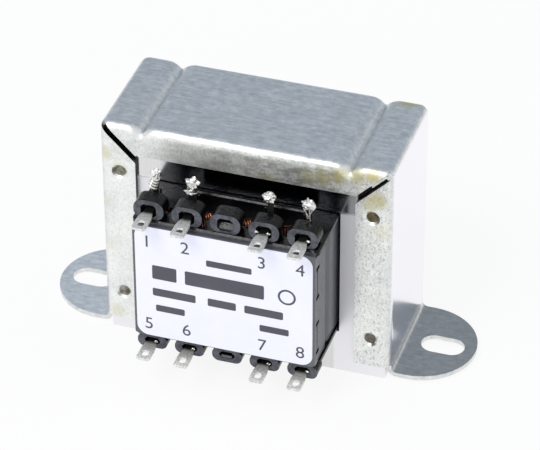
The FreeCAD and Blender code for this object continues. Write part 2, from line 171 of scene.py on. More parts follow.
def roundEdges(bm, edges, radius):
    bmesh.ops.bevel(bm, geom=edges, offset=radius * mm, offset_type="OFFSET", affect="EDGES",
                    segments=3, profile=0.5, material=-1)


# Materials

zincColours = {
    "dark": "#dfe3e2", "light": "#f1f1ee", "litSidePanel": "#f6f5fb", "grime": "#a6a69b", "stain": "#cdc487",
    "cutEdgeShade": "#242426", "markLeft": "#a3a298", "markRight": "#7a6f4e", "markRightLow": "#7c7470",
    "markPits": "#4a4638",
}
zincLimits = {  # from where each mask starts to where it is full, in mm
    "rightward": (-30.0, 30.0), "panelAcross": (30.8, 31.1), "panelUp": (2.2, 3.0), "footUp": (2.3, 1.75),
    "flangeAway": (13.0, 13.5), "browUp": (43.2, 44.4), "litRight": (22.0, 24.0), "litUp": (42.5, 43.5),
    "rimAway": (12.6, 12.7), "rimAcross": (30.95, 30.85), "rimUp": (52.1, 52.0),
    "markFloor": (-13.24, -13.18), "markMouth": (-13.0, -13.1), "markAcross": (28.45, 28.35),
    "markUp": (49.4, 49.2), "markLow": (30.0, 20.0),
}
zincPatterns = {  # stretch along each axis, grain in mm, detail and roughness
    "streaks": ((0.16, 1.0, 1.0), 0.55, 3.0, 0.65),
    "specks": ((1.0, 1.0, 0.6), 0.5, 4.0, 0.7),
    "clouds": ((1.0, 1.0, 1.0), 7.0, 4.0, 0.6),
    "mottle": ((1.0, 1.0, 1.0), 1.6, 4.0, 0.75),
    "grit": ((1.0, 1.0, 1.0), 0.32, 2.0, 0.6),
    "smears": ((0.45, 1.0, 1.0), 1.5, 5.0, 0.72),
}
stainCore = 0.25  # the share of a stain's radius that is fully stained
stainSpots = (  # x, y, z, radius and strength of each passivation stain, in mm
    (13.5, -13.6, 48.3, 2.4, 0.55), (16.4, -13.6, 48.8, 2.7, 0.75), (20.0, -13.6, 49.6, 2.7, 0.75),
    (23.5, -13.6, 50.4, 2.7, 0.8), (26.7, -13.6, 51.2, 2.4, 0.85), (5.0, -13.6, 45.5, 3.0, 0.35),
    (27.9, -13.6, 45.4, 2.8, 0.95), (26.4, -13.6, 44.0, 2.3, 0.7), (29.0, -13.6, 38.0, 3.0, 0.25),
    (27.0, 13.4, 52.0, 4.5, 0.75), (22.0, 13.4, 51.5, 1.8, 0.9),
    (-22.0, 13.4, 51.5, 1.8, 0.8), (-26.85, -13.8, 41.6, 2.4, 0.4), (-30.2, -13.6, 45.0, 2.6, 0.4),
    (-30.4, -13.6, 33.0, 2.2, 0.3), (-29.5, -13.6, 22.0, 2.0, 0.2), (-28.5, -13.6, 5.0, 2.6, 0.35),
)


def stainMask(tree, place, clouds):
    total = None
    for x, y, z, radius, strength in stainSpots:
        away = addNode(tree, "VectorMath", {0: place, 1: (x * mm, y * mm, z * mm)}, operation="DISTANCE")
        near = addNode(tree, "MapRange", {
            0: away, 1: radius * mm, 2: radius * stainCore * mm, 4: strength},
            interpolation_type="SMOOTHSTEP")
        if total is not None:
            near = addNode(tree, "Math", {0: total, 1: near}, operation="MAXIMUM")
        total = near
    return combineMasks(tree, total, (clouds, 0.35, 0.6, 0.55, 1.0))


def galvanisedSteel():
    # Hot dip galvanised sheet, cold folded: a fine mottled zinc on the flats, smoother side panels painted
    # brighter as painted reflection, cut faces painted near black as painted shade, and a few yellowed
    # passivation stains
    material, tree, shader, place = startMaterial("galvanisedSteel", {"Metallic": 1.0})
    tints = {name: toLinear(value) for name, value in zincColours.items()}
    limits = inMetres(zincLimits)
    split = addNode(tree, "SeparateXYZ", {0: place}).outputs
    facing = addNode(tree, "NewGeometry").outputs["True Normal"]
    facing = addNode(tree, "SeparateXYZ", {0: facing}).outputs
    across, away, frontal, level = (
        addNode(tree, "Math", {0: source}, operation="ABSOLUTE")
        for source in (split["X"], split["Y"], facing["Y"], facing["Z"]))

    # Parts of the sheet: side panels, feet, flanges, and the brow, which is the flange under the top fold
    rightward = combineMasks(tree, (split["X"], *limits["rightward"]))
    panel = combineMasks(tree, (across, *limits["panelAcross"]), (split["Z"], *limits["panelUp"]))
    foot = combineMasks(tree, (level, 0.3, 0.5), (split["Z"], *limits["footUp"]))
    flange = combineMasks(tree, (away, *limits["flangeAway"]))
    brow = combineMasks(tree, flange, (split["Z"], *limits["browUp"]))

    patterns = {}
    for name, (stretch, grain, detail, roughness) in zincPatterns.items():
        stretched = addNode(tree, "Mapping", {"Vector": place, "Scale": stretch})
        patterns[name] = addNode(tree, "TexNoise", {
            "Vector": stretched, "Scale": perMm(grain), "Detail": detail, "Roughness": roughness})
    streaks, specks, clouds, mottle, grit, smears = patterns.values()

    # Brightness of the zinc: brushed on the flats, and flecked on the flanges, more so to the right
    flat = combineMasks(tree, (streaks, 0.3, 0.7, 0.80, 1.06), (mottle, 0.35, 0.65, 0.86, 1.08))
    fleckLow = addNode(tree, "MapRange", {0: rightward, 3: 0.88, 4: 0.65})
    gritLow = addNode(tree, "MapRange", {0: rightward, 3: 0.95, 4: 0.83})
    flecked = combineMasks(tree, (specks, 0.38, 0.47, fleckLow, 1.0), (grit, 0.38, 0.62, gritLow, 1.04),
                           (clouds, 0.3, 0.6, 1.0, 1.12))
    tone = addNode(tree, "Mix", {0: flange, 2: flat, 3: flecked})
    # Painted reflection: the side panels take an even, slightly raised tone
    tone = addNode(tree, "Mix", {0: panel, 2: tone, 3: 1.03})
    # Painted light and shade: the left foot is painted lighter and the right foot darker
    footLightAndShade = addNode(tree, "MapRange", {0: rightward, 3: 1.2, 4: 0.6})
    tone = combineMasks(tree, tone, (foot, 0.0, 1.0, 1.0, footLightAndShade))

    # Grime smeared over the brow, and pits in the feet
    smearHigh = addNode(tree, "MapRange", {0: rightward, 1: 0.2, 2: 0.7, 3: 0.18, 4: 0.9})
    grime = combineMasks(tree, brow, (smears, 0.56, 0.40, 0.0, smearHigh),
                         (rightward, 0.8, 0.95, 1.0, 0.35))
    speckPits = addNode(tree, "MapRange", {0: specks, 1: 0.44, 2: 0.36})
    streakPits = addNode(tree, "MapRange", {0: streaks, 1: 0.40, 2: 0.30})
    pits = addNode(tree, "Math", {0: speckPits, 1: streakPits}, operation="MAXIMUM")
    pits = combineMasks(tree, foot, pits, (rightward, 0.0, 1.0, 0.165, 0.55))
    grime = addNode(tree, "Math", {0: grime, 1: pits}, operation="MAXIMUM")

    # Painted shade: cut faces are painted near black, but for those lit in the front right mitre
    lit = combineMasks(tree, (split["X"], *limits["litRight"]), (split["Z"], *limits["litUp"]))
    rimShade = combineMasks(tree, (frontal, 0.35, 0.25), (away, *limits["rimAway"]),
                       (across, *limits["rimAcross"]), (split["Z"], *limits["rimUp"]),
                       (lit, 0.0, 1.0, 1.0, 0.1))

    # Floors of the round press marks: grey on the left, a worn brown on the right, and pitted
    mark = combineMasks(tree, (split["Y"], *limits["markFloor"]), (split["Y"], *limits["markMouth"]),
                        (across, *limits["markAcross"]), (split["Z"], *limits["markUp"]))
    lowDown = combineMasks(tree, (split["Z"], *limits["markLow"]))
    unpitted = addNode(tree, "MapRange", {0: mottle, 1: 0.35, 2: 0.6})
    worn = tints["markRightLow"]
    for mask, under in ((lowDown, "markRight"), (rightward, "markLeft"), (unpitted, "markPits")):
        worn = addNode(tree, "Mix", {0: mask, 6: tints[under], 7: worn}, data_type="RGBA")

    zinc = tints["dark"]
    # Painted reflection: the side panels are painted a brighter, bluish white than the rest of the zinc
    for mask, over in ((clouds, tints["light"]), (panel, tints["litSidePanel"])):
        zinc = addNode(tree, "Mix", {0: mask, 6: zinc, 7: over}, data_type="RGBA")
    zinc = addNode(tree, "Mix", {0: 1.0, 6: zinc, 7: tone}, data_type="RGBA", blend_type="MULTIPLY")
    stains = stainMask(tree, place, clouds)
    layers = ((grime, tints["grime"]), (stains, tints["stain"]), (rimShade, tints["cutEdgeShade"]), (mark, worn))
    for mask, over in layers:
        zinc = addNode(tree, "Mix", {0: mask, 6: zinc, 7: over}, data_type="RGBA")
    rough = addNode(tree, "MapRange", {0: mottle, 1: 0.3, 2: 0.7, 3: 0.28, 4: 0.4})
    rough = addNode(tree, "Mix", {0: brow, 2: rough, 3: 0.55})
    rough = addNode(tree, "Mix", {0: panel, 2: rough, 3: 0.2})
    height = addNode(tree, "Math", {0: streaks, 1: specks}, operation="ADD")
    height = combineMasks(tree, height, (panel, 0.0, 1.0, 1.0, 0.12))
    bump = addNode(tree, "Bump", {"Height": height, "Strength": 0.35, "Distance": 0.03 * mm})
    setInputs(tree, shader, {"Base Color": zinc, "Roughness": rough, "Normal": bump})
    return material


coreColours = {
    "dark": "#d6d5d6", "light": "#e6e5e5", "leg": "#f1f1f4", "yokeReflection": "#84888f", "shade": "#18181a",
}
coreLimits = {  # from where each mask starts to where it is full, in mm
    "legAcross": (18.6, 19.2), "legUp": (40.4, 40.0), "front": (-12.3, -12.4),
    "yokeReflectionLeft": (-18.5, -14.5), "yokeReflectionRight": (22.0, 19.5), "yokeReflectionUp": (39.6, 40.0),
    "cornerAcross": (23.3, 23.7), "cornerUp": (40.0, 41.0),
    "seamRight": (23.46, 23.6), "seamUp": (4.5, 6.0),
}
seamStrength = 0.8


def coreSteel():
    # Cold rolled silicon steel sheet, almost a mirror on its face, with a faint brushing along the rolling
    material, tree, shader, place = startMaterial("coreSteel", {"Metallic": 1.0})
    stretched = addNode(tree, "Mapping", {"Vector": place, "Scale": (1.0, 1.0, 0.04)})
    brush = addNode(tree, "TexNoise", {
        "Vector": stretched, "Scale": perMm(0.6), "Detail": 3.0, "Roughness": 0.6})
    split = addNode(tree, "SeparateXYZ", {0: place}).outputs
    across = addNode(tree, "Math", {0: split["X"]}, operation="ABSOLUTE")
    limits = inMetres(coreLimits)
    # Painted reflection: the legs are painted a lighter grey than the yoke, and they are rougher
    leg = combineMasks(tree, (across, *limits["legAcross"]), (split["Z"], *limits["legUp"]))
    # Painted reflection: the front of the upper yoke is painted a darker grey, for the dark reflection of
    # the black coil former
    yokeReflection = combineMasks(tree, (split["X"], *limits["yokeReflectionLeft"]),
                           (split["X"], *limits["yokeReflectionRight"]), (split["Y"], *limits["front"]),
                           (split["Z"], *limits["yokeReflectionUp"]))
    # Painted shade: the corners behind the slits of the frame and a thin line along its right flange are
    # painted near black
    cornerShade = combineMasks(tree, (across, *limits["cornerAcross"]), (split["Z"], *limits["cornerUp"]),
                          (split["Y"], *limits["front"]))
    seamShade = combineMasks(tree, (split["X"], *limits["seamRight"]),
                        (split["Z"], *limits["seamUp"], 0.0, seamStrength))
    shade = addNode(tree, "Math", {0: cornerShade, 1: seamShade}, operation="MAXIMUM")
    tint = toLinear(coreColours["dark"])
    for mask, over in ((brush, "light"), (leg, "leg"), (yokeReflection, "yokeReflection"), (shade, "shade")):
        tint = addNode(tree, "Mix", {0: mask, 6: tint, 7: toLinear(coreColours[over])}, data_type="RGBA")
    rough = addNode(tree, "MapRange", {0: leg, 3: 0.14, 4: 0.48})
    bump = addNode(tree, "Bump", {"Height": brush, "Strength": 0.08, "Distance": 0.01 * mm})
    setInputs(tree, shader, {"Base Color": tint, "Roughness": rough, "Normal": bump})
    return material


latchShade = {"inset": (0.06, 0.14), "front": (-25.9, -25.7)}  # into the side and along it, in mm


def mouldedPlastic():
    # Injection moulded and slightly glossy, with a faint cloud in the skin, a fine tool grain, and shade
    # in the latch notches of the sides
    material, tree, shader, place = startMaterial("greyCoverPlastic", {
        "Metallic": 0.0, "IOR": 1.53, "Specular IOR Level": 0.8})
    cloud = addNode(tree, "TexNoise", {
        "Vector": place, "Scale": perMm(3.0), "Detail": 4.0, "Roughness": 0.65})
    split = addNode(tree, "SeparateXYZ", {0: place}).outputs
    across = addNode(tree, "Math", {0: split["X"]}, operation="ABSOLUTE")
    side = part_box("front_cover")[1].x
    limits = inMetres(latchShade)
    notch = combineMasks(tree, (across, *(side - inset for inset in limits["inset"])),
                         (split["Y"], *limits["front"]))
    tint = toLinear("#494a4f")
    for mask, over in ((cloud, "#57585e"), (notch, "#060606")):
        tint = addNode(tree, "Mix", {0: mask, 6: tint, 7: toLinear(over)}, data_type="RGBA")
    rough = addNode(tree, "MapRange", {0: cloud, 1: 0.3, 2: 0.7, 3: 0.25, 4: 0.38})
    grain = addNode(tree, "TexNoise", {"Vector": place, "Scale": perMm(0.4), "Detail": 2.0})
    bump = addNode(tree, "Bump", {"Height": grain, "Strength": 0.25, "Distance": 0.02 * mm})
    setInputs(tree, shader, {"Base Color": tint, "Roughness": rough, "Normal": bump})
    return material


nylonColours = {"wet": ("#050507", "#0f0f12"), "dullLitFront": ("#3f4046", "#606169")}  # dark and light
nylonDullLitFront = {  # from where the painted front light starts to where it is full
    "facing": (-0.8, -0.93),  # a face's direction along Y
    "depth": (-20.5, -21.5),  # in mm
}


def varnishedNylon():
    # Black glass filled nylon: the upper faces, varnished by impregnation, are wet and black with small
    # runs, and the faces towards the front are dull, and painted a lighter grey as painted light from the
    # front
    material, tree, shader, place = startMaterial("varnishedNylon", {
        "Metallic": 0.0, "IOR": 1.53, "Specular IOR Level": 0.22})
    facing = addNode(tree, "NewGeometry").outputs["True Normal"]
    facing = addNode(tree, "SeparateXYZ", {0: facing}).outputs["Y"]
    depth = addNode(tree, "SeparateXYZ", {0: place}).outputs["Y"]
    # Painted light: faces towards the front, ahead of the given depth, are painted a lighter grey; they
    # are also duller
    dullLitFront = combineMasks(tree, (facing, *nylonDullLitFront["facing"]),
                         (depth, *(value * mm for value in nylonDullLitFront["depth"])))
    cloud = addNode(tree, "TexNoise", {
        "Vector": place, "Scale": perMm(1.4), "Detail": 4.0, "Roughness": 0.7})
    rubbed = addNode(tree, "MapRange", {0: cloud, 1: 0.38, 2: 0.62})
    skins = []
    for name, mask in (("wet", cloud), ("dullLitFront", rubbed)):
        dark, light = (toLinear(value) for value in nylonColours[name])
        skins.append(addNode(tree, "Mix", {0: mask, 6: dark, 7: light}, data_type="RGBA"))
    tint = addNode(tree, "Mix", {0: dullLitFront, 6: skins[0], 7: skins[1]}, data_type="RGBA")
    gloss = addNode(tree, "MapRange", {0: cloud, 1: 0.35, 2: 0.65, 3: 0.12, 4: 0.28})
    rough = addNode(tree, "Mix", {0: dullLitFront, 2: gloss, 3: 0.4})
    runs = addNode(tree, "TexNoise", {
        "Vector": place, "Scale": perMm(0.8), "Detail": 2.0, "Distortion": 0.8})
    swell = addNode(tree, "MapRange", {0: dullLitFront, 3: 0.1 * mm, 4: 0.04 * mm})
    bump = addNode(tree, "Bump", {"Height": runs, "Strength": 0.8, "Distance": swell})
    setInputs(tree, shader, {"Base Color": tint, "Roughness": rough, "Normal": bump})
    return material


tinDarkening = {"post": (42.2, 42.8), "root": (-26.2, -25.3)}  # up a post, and in from the front, in mm
tinRagged = 1.6  # how far the dark edge wanders, in mm


def tinnedBrass():
    # Brass strip with a dull electro tin plate: pale, rubbed and slightly pitted, and darker on the posts
    # and in the hubs
    material, tree, shader, place = startMaterial("tinnedBrass", {"Metallic": 0.7})
    rubbed = addNode(tree, "TexNoise", {
        "Vector": place, "Scale": perMm(0.55), "Detail": 4.0, "Roughness": 0.75})
    split = addNode(tree, "SeparateXYZ", {0: place}).outputs
    limits = inMetres(tinDarkening)
    wander = addNode(tree, "Math", {0: rubbed, 1: tinRagged * mm}, operation="MULTIPLY")
    ragged = addNode(tree, "Math", {0: split["Y"], 1: wander}, operation="ADD")
    post = combineMasks(tree, (split["Z"], *limits["post"]))
    root = combineMasks(tree, (ragged, *limits["root"]))
    darkened = addNode(tree, "Math", {0: post, 1: root}, operation="MAXIMUM")
    pale = addNode(tree, "MapRange", {0: rubbed, 1: 0.36, 2: 0.64})
    tint = toLinear("#c9c7bf")
    for mask, over in ((pale, "#f6f5f0"), (darkened, "#2e302e")):
        tint = addNode(tree, "Mix", {0: mask, 6: tint, 7: toLinear(over)}, data_type="RGBA")
    rough = addNode(tree, "MapRange", {0: rubbed, 1: 0.3, 2: 0.7, 3: 0.58, 4: 0.42})
    bump = addNode(tree, "Bump", {"Height": rubbed, "Strength": 0.6, "Distance": 0.07 * mm})
    setInputs(tree, shader, {"Base Color": tint, "Roughness": rough, "Normal": bump})
    return material


def solderTin():
    # Hand soldered tin: very bright, lumpy, with greyer hollows
    material, tree, shader, place = startMaterial("solderTin", {"Metallic": 1.0})
    crust = addNode(tree, "TexNoise", {
        "Vector": place, "Scale": perMm(0.5), "Detail": 3.0, "Roughness": 0.6})
    dark, light = toLinear("#cfcdca"), toLinear("#fbfaf7")
    tint = addNode(tree, "Mix", {0: crust, 6: dark, 7: light}, data_type="RGBA")
    rough = addNode(tree, "MapRange", {0: crust, 1: 0.3, 2: 0.7, 3: 0.34, 4: 0.22})
    bump = addNode(tree, "Bump", {"Height": crust, "Strength": 0.4, "Distance": 0.08 * mm})
    setInputs(tree, shader, {"Base Color": tint, "Roughness": rough, "Normal": bump})
    return material


turnPitch = 0.4  # from one turn of wire to the next, in mm
blackenFade = 0.8  # the height over which the wire darkens to black, in mm
neverBlackened = 60.0  # a height above the whole object, in mm


def enamelledCopper(name, dark, light, blackenFrom):
    # Copper wire under a clear enamel: glossy, reddish, with a line between turns, and black above the
    # given height
    material, tree, shader, place = startMaterial(name, {
        "Metallic": 0.85, "Roughness": 0.25, "Coat Weight": 0.6, "Coat Roughness": 0.08})
    height = addNode(tree, "SeparateXYZ", {0: place}).outputs["Z"]
    turns = addNode(tree, "Math", {0: height, 1: math.tau * perMm(turnPitch)}, operation="MULTIPLY")
    wave = addNode(tree, "Math", {0: turns}, operation="SINE")
    flow = addNode(tree, "TexNoise", {"Vector": place, "Scale": perMm(1.5), "Detail": 2.0})
    blackened = addNode(tree, "MapRange", {0: height, 1: blackenFrom * mm, 2: (blackenFrom + blackenFade) * mm})
    tint = toLinear(dark)
    for mask, over in ((flow, light), (blackened, "#1d1411")):
        tint = addNode(tree, "Mix", {0: mask, 6: tint, 7: toLinear(over)}, data_type="RGBA")
    bump = addNode(tree, "Bump", {"Height": wave, "Strength": 0.4, "Distance": 0.05 * mm})
    setInputs(tree, shader, {"Base Color": tint, "Normal": bump})
    return material


filmLap = {"width": 9.0, "edge": 0.25}  # in mm


def insulatingFilm(name, dark, light, roughness):
    # Polyester tape in overlapping laps, smooth and a little glossy
    material, tree, shader, place = startMaterial(name, {"Metallic": 0.0, "Coat Weight": 0.2})
    height = addNode(tree, "SeparateXYZ", {0: place}).outputs["Z"]
    laps = addNode(tree, "Math", {0: height, 1: filmLap["width"] * mm}, operation="MODULO")
    edge = addNode(tree, "MapRange", {0: laps, 2: filmLap["edge"] * mm})
    crease = addNode(tree, "TexNoise", {
        "Vector": place, "Scale": perMm(4.0), "Detail": 3.0, "Distortion": 0.6})
    tint = addNode(tree, "Mix", {0: crease, 6: toLinear(dark), 7: toLinear(light)}, data_type="RGBA")
    rough = addNode(tree, "MapRange", {0: crease, 1: 0.3, 2: 0.7, 3: roughness, 4: roughness + 0.12})
    relief = addNode(tree, "Math", {0: edge, 1: crease}, operation="ADD")
    bump = addNode(tree, "Bump", {"Height": relief, "Strength": 0.3, "Distance": 0.08 * mm})
    setInputs(tree, shader, {"Base Color": tint, "Roughness": rough, "Normal": bump})
    return material


def labelFilm(name, dark, light):
    # Coated self adhesive label: almost white, satin, with a barely visible paper tooth
    material, tree, shader, place = startMaterial(name, {"Metallic": 0.0, "Roughness": 0.42})
    tooth = addNode(tree, "TexNoise", {
        "Vector": place, "Scale": perMm(7.0), "Detail": 5.0, "Roughness": 0.6})
    tint = addNode(tree, "Mix", {0: tooth, 6: toLinear(dark), 7: toLinear(light)}, data_type="RGBA")
    bump = addNode(tree, "Bump", {"Height": tooth, "Strength": 0.08, "Distance": 0.05 * mm})
    setInputs(tree, shader, {"Base Color": tint, "Normal": bump})
    return material


steel = galvanisedSteel()
core = coreSteel()
nylon = varnishedNylon()
coverPlastic = mouldedPlastic()
tin = tinnedBrass()
solder = solderTin()
magnetWire = enamelledCopper("enamelledCopper", "#7a3416", "#c8723c", neverBlackened)
leadWire = enamelledCopper("enamelledLead", "#5a1c10", "#b8683a", 40.8)
bareLoops = enamelledCopper("bareCopperLoops", "#c4683a", "#ffb98c", neverBlackened)
darkLoops = enamelledCopper("redEnamelLoops", "#3a0f12", "#5e1c20", neverBlackened)
tapeFilm = insulatingFilm("yellowFilm", "#b99434", "#d8b95a", 0.3)
wrapFilm = insulatingFilm("greyWrap", "#58595d", "#626367", 0.42)
paper = labelFilm("labelPaper", "#e9eaf8", "#f2f3fc")
ink = labelFilm("labelInk", "#3f4048", "#55565e")
print("materials ready")


# Frame, core and coil former

mitreLip = {  # the bright cut edge that half fills the front right mitre and closes its tip, in mm
    "bars": (((28.28, -13.2, 50.07), (4.4, 1.0, 0.5)), ((30.05, -12.62, 51.3), (1.6, 1.0, 1.36))),
    "lean": -45.0, "edge": 0.2,
}
blankWeb = {  # in the unused lower hub, in mm
    "x": 0.0, "size": (2.5, 1.0, 0.75), "setIn": 0.9, "edge": 0.2,
}


def roundedBar(bm, centre, size, lean, edge):
    turn = Matrix.Rotation(math.radians(lean), 4, "Y")
    scale = Matrix.Diagonal([length * mm for length in size] + [1.0])
    made = bmesh.ops.create_cube(bm, size=1.0, matrix=Matrix.Translation(centre) @ turn @ scale)
    roundEdges(bm, edgesOf(made["verts"]), edge)


def buildMitreLip():
    bm = bmesh.new()
    for centre, size in mitreLip["bars"]:
        roundedBar(bm, Vector(centre) * mm, size, mitreLip["lean"], mitreLip["edge"])
    newPiece("mitreLip", bm, steel)


def buildBlankWeb():
    low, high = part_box("tag_lower_1")
    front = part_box("coil_former")[0].y + blankWeb["setIn"] * mm
    centre = Vector((blankWeb["x"] * mm, front, (low.z + high.z) / 2))
    bm = bmesh.new()
    roundedBar(bm, centre, blankWeb["size"], 0.0, blankWeb["edge"])
    newPiece("blankWeb", bm, nylon)


edgeRadii = {"clamp": 0.08, "former": 0.06, "cover": 0.08, "tags": 0.06, "label": 0.03}  # in mm
dressCopy("clamp_frame", "clampFrame", steel, edgeRadii["clamp"])
buildMitreLip()
dressCopy("coil_former", "coilFormer", nylon, edgeRadii["former"])
buildBlankWeb()
dressCopy("front_cover", "frontCover", coverPlastic, edgeRadii["cover"])
dressCopy("coil_wrap", "coilWrap", wrapFilm)
for sheets in ("e_sheets_upright", "e_sheets_inverted", "i_sheets_upper", "i_sheets_lower"):
    paintNode(sheets, core)
paintNode("primary_winding", magnetWire)
paintNode("secondary_winding", magnetWire)
paintNode("winding_tape", tapeFilm)
for number in range(1, 5):
    for row in ("upper", "lower"):
        dressCopy("tag_%s_%d" % (row, number), "tag%s%d" % (row.capitalize(), number),
                  tin, edgeRadii["tags"])
print("frame, core, former and tags dressed")


# Label and its print

labelPrint = {
    "inkDepth": 0.02,
    "numeralHeight": 3.0,
    "fontScale": 1.36,  # the font's figures are 0.735 of its size
    "numeralSteps": 4,
    "numeralX": (-16.2, -8.1, 8.1, 16.2),
    "rows": (("1234", 33.9), ("5678", 13.2)),  # numerals from left to right, and their lower edge
    "bars": (  # left x, right x, middle z and height of each neutral bar
        (-3.6, 6.0, 32.6, 1.5),
        (-15.2, -10.0, 27.9, 3.4), (-8.2, 8.6, 27.9, 3.4),
        (-15.2, -6.0, 22.9, 1.9), (-3.4, 2.6, 22.9, 1.9), (4.4, 12.6, 22.9, 1.9),
        (-14.6, -8.4, 18.9, 1.6), (7.6, 13.8, 18.9, 1.6),
    ),
    "barCorner": 0.3,
    "ring": (13.4, 27.9, 1.9, 0.45),  # x, z, radius and line width
    "ringSides": 40,
}


def printedBar(bm, bar, faceY, depth):
    left, right, middleZ, height = bar
    scale = Matrix.Diagonal(((right - left) * mm, depth, height * mm, 1.0))
    shift = Matrix.Translation(((left + right) / 2 * mm, faceY - depth / 2, middleZ * mm))
    made = bmesh.ops.create_cube(bm, size=1.0, matrix=shift @ scale)
    corners = [edge for edge in edgesOf(made["verts"])
               if abs(edge.verts[0].co.y - edge.verts[1].co.y) > depth / 2]
    roundEdges(bm, corners, labelPrint["barCorner"])


def printedNumeral(bm, text, x, z, faceY, depth):
    curve = bpy.data.curves.new("numeral", "FONT")
    curve.body = text
    curve.size = labelPrint["numeralHeight"] * mm * labelPrint["fontScale"]
    curve.align_x = "CENTER"
    curve.extrude = depth / 2
    curve.resolution_u = labelPrint["numeralSteps"]
    holder = bpy.data.objects.new("numeral", curve)
    bpy.context.scene.collection.objects.link(holder)
    mesh = bpy.data.meshes.new_from_object(holder.evaluated_get(bpy.context.evaluated_depsgraph_get()))
    turn = Matrix.Rotation(math.radians(90), 4, "X")
    mesh.transform(Matrix.Translation((x * mm, faceY - depth / 2, z * mm)) @ turn)
    bm.from_mesh(mesh)
    bpy.data.objects.remove(holder)
    bpy.data.meshes.remove(mesh)
    bpy.data.curves.remove(curve)


def printedRing(bm, faceY, depth):
    x, z, radius, lineWidth = labelPrint["ring"]
    ring = bmesh.new()
    bmesh.ops.create_circle(ring, radius=radius * mm, segments=labelPrint["ringSides"], cap_ends=True)
    bmesh.ops.inset_individual(ring, faces=ring.faces[:], thickness=lineWidth * mm)
    bmesh.ops.delete(ring, geom=[f for f in ring.faces if len(f.verts) > 4], context="FACES_ONLY")
    raised = bmesh.ops.extrude_face_region(ring, geom=ring.faces[:])["geom"]
    raised = [element for element in raised if isinstance(element, bmesh.types.BMVert)]
    bmesh.ops.translate(ring, vec=(0, 0, depth), verts=raised)
    turn = Matrix.Translation((x * mm, faceY, z * mm)) @ Matrix.Rotation(math.radians(90), 4, "X")
    bmesh.ops.transform(ring, matrix=turn, verts=ring.verts)
    bmesh.ops.recalc_face_normals(ring, faces=ring.faces)
    mesh = bpy.data.meshes.new("ring")
    ring.to_mesh(mesh)
    ring.free()
    bm.from_mesh(mesh)
    bpy.data.meshes.remove(mesh)


def buildPrint():
    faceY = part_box("label")[0].y
    depth = labelPrint["inkDepth"] * mm
    bm = bmesh.new()
    for bar in labelPrint["bars"]:
        printedBar(bm, bar, faceY, depth)
    for numerals, z in labelPrint["rows"]:
        for text, x in zip(numerals, labelPrint["numeralX"]):
            printedNumeral(bm, text, x, z, faceY, depth)
    printedRing(bm, faceY, depth)
    newPiece("labelPrint", bm, ink)


dressCopy("label", "labelSheet", paper, edgeRadii["label"])
buildPrint()
print("label printed")


# Solder and leads

lumpShape = {  # how a drop froze: the noise that swells it, and how narrow its drawn points are
    "coarse": 1.9, "fine": 4.6, "fineShare": 0.8, "narrow": 30, "subdivisions": 4, "foldAngle": 60,
}
wireShape = {  # a loose strand's radius is in mm
    "sides": 8, "stepsPerTurn": 16, "stepsPerArch": 12, "strandRadius": 0.13, "strandTaper": 0.8,
    "foldAngle": 60,
}
upperJoints = (  # per post, in mm from its foot: lumps of tin, turns of bare wire, loose strands and lean
    {"lumps": (((-0.95, 0.0, 3.35), (1.1, 0.95, 1.5), 0.3, ((0.0, 0.0, 1.0, 0.4), (0.7, 0.0, 0.6, 0.3))),),
     "turns": {"count": 4.5, "base": 0.1, "pitch": 0.72, "radius": 0.8, "wire": 0.32, "slant": 0.7,
               "offset": -0.6},
     "strands": (), "lean": 0.24},
    {"lumps": (((-0.3, 0.0, 2.75), (1.2, 1.05, 1.35), 0.36, (
                   (0.3, 0.0, 1.0, 0.5), (-0.9, 0.0, 0.5, 0.25), (0.9, 0.0, 0.2, 0.3))),
               ((-0.6, 0.0, 0.75), (1.15, 0.8, 0.24), 0.3, ((-1.0, 0.0, 0.2, 0.3),))),
     "turns": None, "strands": (), "lean": 0.0},
    {"lumps": (((-0.25, 0.0, 2.9), (1.1, 1.0, 1.15), 0.36, (
                   (-0.95, 0.0, 0.15, 0.35), (0.2, 0.0, 1.0, 0.4), (0.9, 0.0, 0.4, 0.3),
                   (-0.7, 0.0, -0.8, 0.45))),),
     "turns": None, "strands": (), "lean": 0.0},
    {"lumps": (((-0.1, 0.0, 2.95), (1.15, 1.0, 1.15), 0.36, (
                   (-1.0, 0.0, 0.3, 0.6), (0.45, 0.0, 1.0, 0.4), (0.95, 0.0, 0.1, 0.25),
                   (0.5, 0.0, -0.9, 0.3))),),
     "turns": None, "lean": 0.0,
     "strands": (((-1.1, -0.5, 2.3), (0.5, -0.7, -0.6)), ((0.7, -0.5, 2.2), (-0.4, -0.75, -0.7)),
                 ((0.1, -0.65, 2.4), (0.3, -0.7, -0.8)), ((-0.7, -0.6, 1.9), (-0.2, -0.7, -0.4)))},
)
upperPost = {"inset": 0.25, "height": 4.0}  # its middle from the tag's back end, and its height, in mm
lowerJoints = {  # one lump on each tail, in mm
    "inset": 0.9, "radii": (0.95, 0.9, 0.9), "rough": 0.3, "spikes": ((0.2, 1.0, 0.0, 0.4),),
}
tagBurrs = {  # bright nicks where a tag was pushed into its hub, in mm
    "places": (  # row, number and offset from the middle of the tag
        ("upper", 3, -1.5), ("upper", 3, 0.95), ("upper", 4, 1.15), ("lower", 1, 0.75),
        ("lower", 2, 0.75), ("lower", 3, 0.85), ("lower", 4, 1.05)),
    "radii": (0.42, 0.22, 0.26), "rough": 0.25, "y": -25.85, "rise": 0.45, "strip": 0.5,
}


